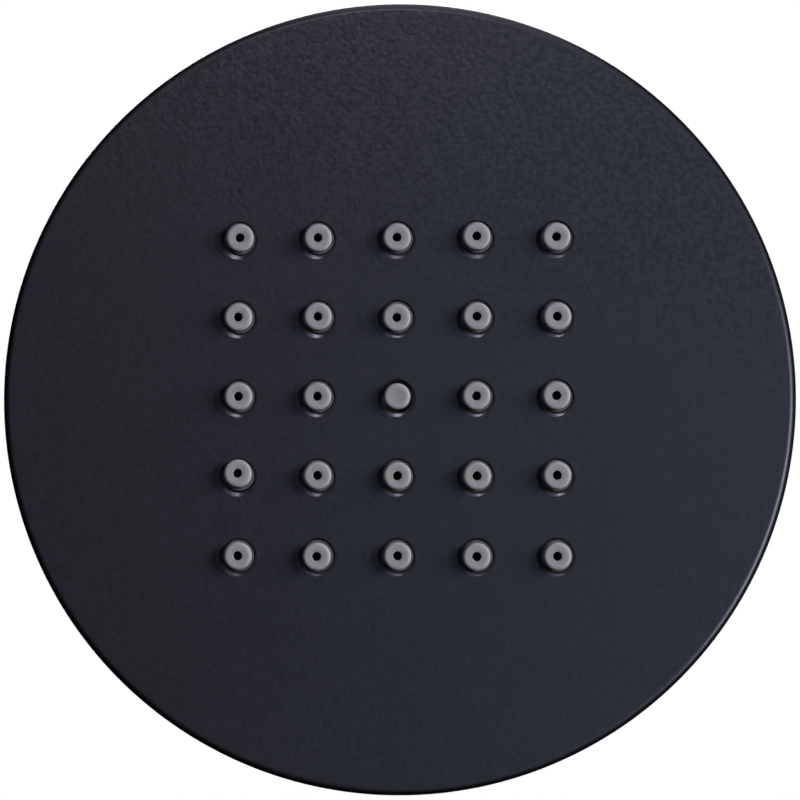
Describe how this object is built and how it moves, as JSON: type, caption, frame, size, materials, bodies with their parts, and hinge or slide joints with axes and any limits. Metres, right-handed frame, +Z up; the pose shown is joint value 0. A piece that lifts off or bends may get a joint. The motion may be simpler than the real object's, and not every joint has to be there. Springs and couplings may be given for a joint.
{
  "type": "shower body jet",
  "caption": "Flush-fit round wall jet for a shower: a flat black disc with a square field of soft grey nozzles, a water chamber behind it and a threaded brass inlet.",
  "frame": {"origin": "centre of the wall plane, where the back edge of the face plate's rim lies, on the axis of the inlet", "axes": "+Z up as fitted, -Y out of the wall along the spray, +Y into the wall along the inlet, +X to the right seen from the front"},
  "size_m": [0.1, 0.0406, 0.1],
  "materials": {
    "black_coat": "matte",
    "grey_silicone": "matte",
    "steel": "satin",
    "pale_plastic": "matte",
    "black_plastic": "matte",
    "brass": "satin",
    "black_rubber": "matte",
    "steel_mesh": "satin",
    "grey_foam": "matte"
  },
  "bodies": {
    "root": {"face_plate": "black_coat", "plate_studs": "steel", "nozzle_mat": "grey_silicone", "nozzle_carrier": "pale_plastic", "chamber_cover": "black_plastic", "cover_nuts": "steel", "inlet_connector": "brass", "inlet_seal": "black_rubber", "inlet_nut": "brass", "filter_screen": "steel_mesh", "filter_rim": "pale_plastic", "wall_gasket": "grey_foam"}
  },
  "joints": []
}
